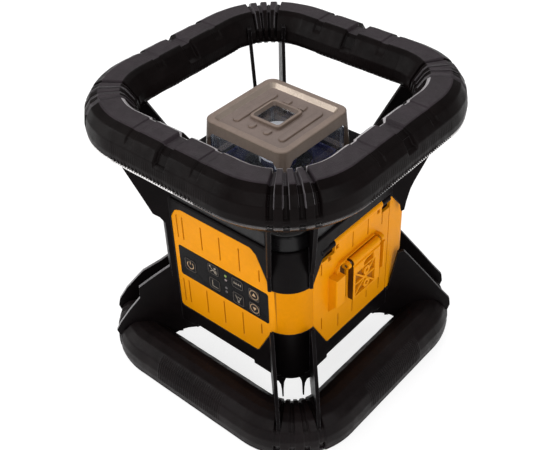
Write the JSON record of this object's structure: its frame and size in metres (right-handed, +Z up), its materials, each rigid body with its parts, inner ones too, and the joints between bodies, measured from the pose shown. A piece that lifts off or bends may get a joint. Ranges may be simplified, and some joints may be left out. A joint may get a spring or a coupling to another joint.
{
  "type": "rotating laser level",
  "caption": "Rotary laser level: square body with keypad and battery door, self-levelling spinning laser head, shock rings above and below, tripod threads.",
  "frame": {"origin": "centre of the plane the lower ring stands on, on the rotor axis", "axes": "+Z up along the rotor axis, -Y towards the keypad, +X towards the battery door"},
  "size_m": [0.2508, 0.2508, 0.266],
  "materials": {
    "ring_rubber": "satin black moulded elastomer",
    "black_plastic": "fine textured black plastic",
    "yellow_plastic": "satin yellow moulding",
    "keypad_gloss": "gloss black membrane",
    "bronze_casting": "satin bronze painted die casting",
    "window_glass": "clear coated glass",
    "navy_plastic": "dark blue moulding",
    "seal_rubber": "soft black rubber",
    "steel": "zinc plated steel",
    "aluminium": "machined aluminium",
    "brass": "machined brass",
    "circuit_board": "green solder mask",
    "battery_plastic": "black battery case",
    "lamp": "tinted light pipe"
  },
  "bodies": {
    "root": {"main_housing": "black_plastic", "base_plate": "black_plastic", "base_screws": "steel", "tripod_insert": "brass", "side_insert": "brass", "front_cover": "yellow_plastic", "rear_cover": "yellow_plastic", "side_cover": "black_plastic", "cover_screws": "steel", "top_ring_upper_shell": "ring_rubber", "top_ring_lower_shell": "ring_rubber", "bottom_ring_upper_shell": "ring_rubber", "bottom_ring_lower_shell": "ring_rubber", "ring_screws": "steel", "keypad_overlay": "keypad_gloss", "keypad_board": "circuit_board", "status_lights": "lamp", "hinge_pin": "steel", "battery_tray": "black_plastic", "battery_pack": "battery_plastic", "battery_terminals": "brass", "top_cover": "black_plastic", "top_cover_screws": "steel", "head_seal": "seal_rubber", "head_cage": "bronze_casting", "head_screws": "steel", "side_windows": "window_glass", "plumb_window": "window_glass", "head_baffle": "navy_plastic", "chassis": "aluminium", "chassis_screws": "steel", "levelling_motors": "steel", "main_board": "circuit_board"},
    "door": {"battery_door": "yellow_plastic", "door_seal": "seal_rubber", "latch_pin": "steel"},
    "latch": {"door_latch": "yellow_plastic"},
    "gimbal": {"gimbal_ring": "aluminium"},
    "carrier": {"laser_carrier": "aluminium", "laser_module": "brass", "collimating_lens": "window_glass", "level_sensor": "circuit_board", "spindle_bearings": "steel", "rotor_motor": "steel", "drive_belt": "seal_rubber"},
    "rotor": {"rotor_head": "aluminium", "pentaprism": "window_glass"},
    "motor_shaft_pulley": {"motor_pulley": "aluminium"},
    "x_screw": {"x_lead_screw": "steel"},
    "y_screw": {"y_lead_screw": "steel"},
    "x_nut": {"x_levelling_nut": "brass"},
    "y_nut": {"y_levelling_nut": "brass"},
    "power_key": {"power_button": "keypad_gloss"},
    "slope_key": {"slope_button": "keypad_gloss"},
    "mode_key": {"mode_button": "keypad_gloss"},
    "speed_key": {"speed_button": "keypad_gloss"},
    "scan_key": {"scan_button": "keypad_gloss"},
    "up_key": {"up_button": "keypad_gloss"},
    "down_key": {"down_button": "keypad_gloss"}
  },
  "joints": [
    {"name": "rotor_spin", "type": "hinge", "parent": "carrier", "child": "rotor", "pos_m": [0, 0, 0.15], "axis": [0, 0, 1], "continuous": true},
    {"name": "motor_pulley_spin", "type": "hinge", "parent": "carrier", "child": "motor_shaft_pulley", "pos_m": [-0.0205, 0.0205, 0.176], "axis": [0, 0, 1], "continuous": true},
    {"name": "x_tilt", "type": "hinge", "parent": "root", "child": "gimbal", "pos_m": [0, 0, 0.15], "axis": [0, 1, 0], "range_deg": [-5, 5]},
    {"name": "y_tilt", "type": "hinge", "parent": "gimbal", "child": "carrier", "pos_m": [0, 0, 0.15], "axis": [1, 0, 0], "range_deg": [-5, 5]},
    {"name": "x_nut_travel", "type": "slide", "parent": "root", "child": "x_nut", "axis": [0, 0, 1], "range_m": [-0.006, 0.006]},
    {"name": "y_nut_travel", "type": "slide", "parent": "root", "child": "y_nut", "axis": [0, 0, 1], "range_m": [-0.006, 0.006]},
    {"name": "x_screw_turn", "type": "hinge", "parent": "root", "child": "x_screw", "pos_m": [-0.059, 0, 0.13], "axis": [0, 0, 1], "range_deg": [-1000, 1000]},
    {"name": "y_screw_turn", "type": "hinge", "parent": "root", "child": "y_screw", "pos_m": [0, -0.059, 0.13], "axis": [0, 0, 1], "range_deg": [-1000, 1000]},
    {"name": "battery_door_hinge", "type": "hinge", "parent": "root", "child": "door", "pos_m": [0.0734, 0.009, 0.1602], "axis": [0, -1, 0], "range_deg": [0, 95]},
    {"name": "door_latch_lift", "type": "hinge", "parent": "door", "child": "latch", "pos_m": [0.0806, 0.0085, 0.1336], "axis": [0, -1, 0], "range_deg": [0, 40]},
    {"name": "power_press", "type": "slide", "parent": "root", "child": "power_key", "axis": [0, 1, 0], "range_m": [0, 0.0005], "stiffness_N_per_m": 1500},
    {"name": "slope_press", "type": "slide", "parent": "root", "child": "slope_key", "axis": [0, 1, 0], "range_m": [0, 0.0005], "stiffness_N_per_m": 1500},
    {"name": "mode_press", "type": "slide", "parent": "root", "child": "mode_key", "axis": [0, 1, 0], "range_m": [0, 0.0005], "stiffness_N_per_m": 1500},
    {"name": "speed_press", "type": "slide", "parent": "root", "child": "speed_key", "axis": [0, 1, 0], "range_m": [0, 0.0005], "stiffness_N_per_m": 1500},
    {"name": "scan_press", "type": "slide", "parent": "root", "child": "scan_key", "axis": [0, 1, 0], "range_m": [0, 0.0005], "stiffness_N_per_m": 1500},
    {"name": "up_press", "type": "slide", "parent": "root", "child": "up_key", "axis": [0, 1, 0], "range_m": [0, 0.0005], "stiffness_N_per_m": 1500},
    {"name": "down_press", "type": "slide", "parent": "root", "child": "down_key", "axis": [0, 1, 0], "range_m": [0, 0.0005], "stiffness_N_per_m": 1500}
  ],
  "couplings": [
    {"joint": "motor_pulley_spin", "follows": "rotor_spin", "ratio": 2.4466},
    {"joint": "x_nut_travel", "follows": "x_tilt", "m_per_rad": 0.059},
    {"joint": "y_nut_travel", "follows": "y_tilt", "m_per_rad": -0.059},
    {"joint": "x_screw_turn", "follows": "x_tilt", "ratio": 185.35},
    {"joint": "y_screw_turn", "follows": "y_tilt", "ratio": -185.35}
  ]
}
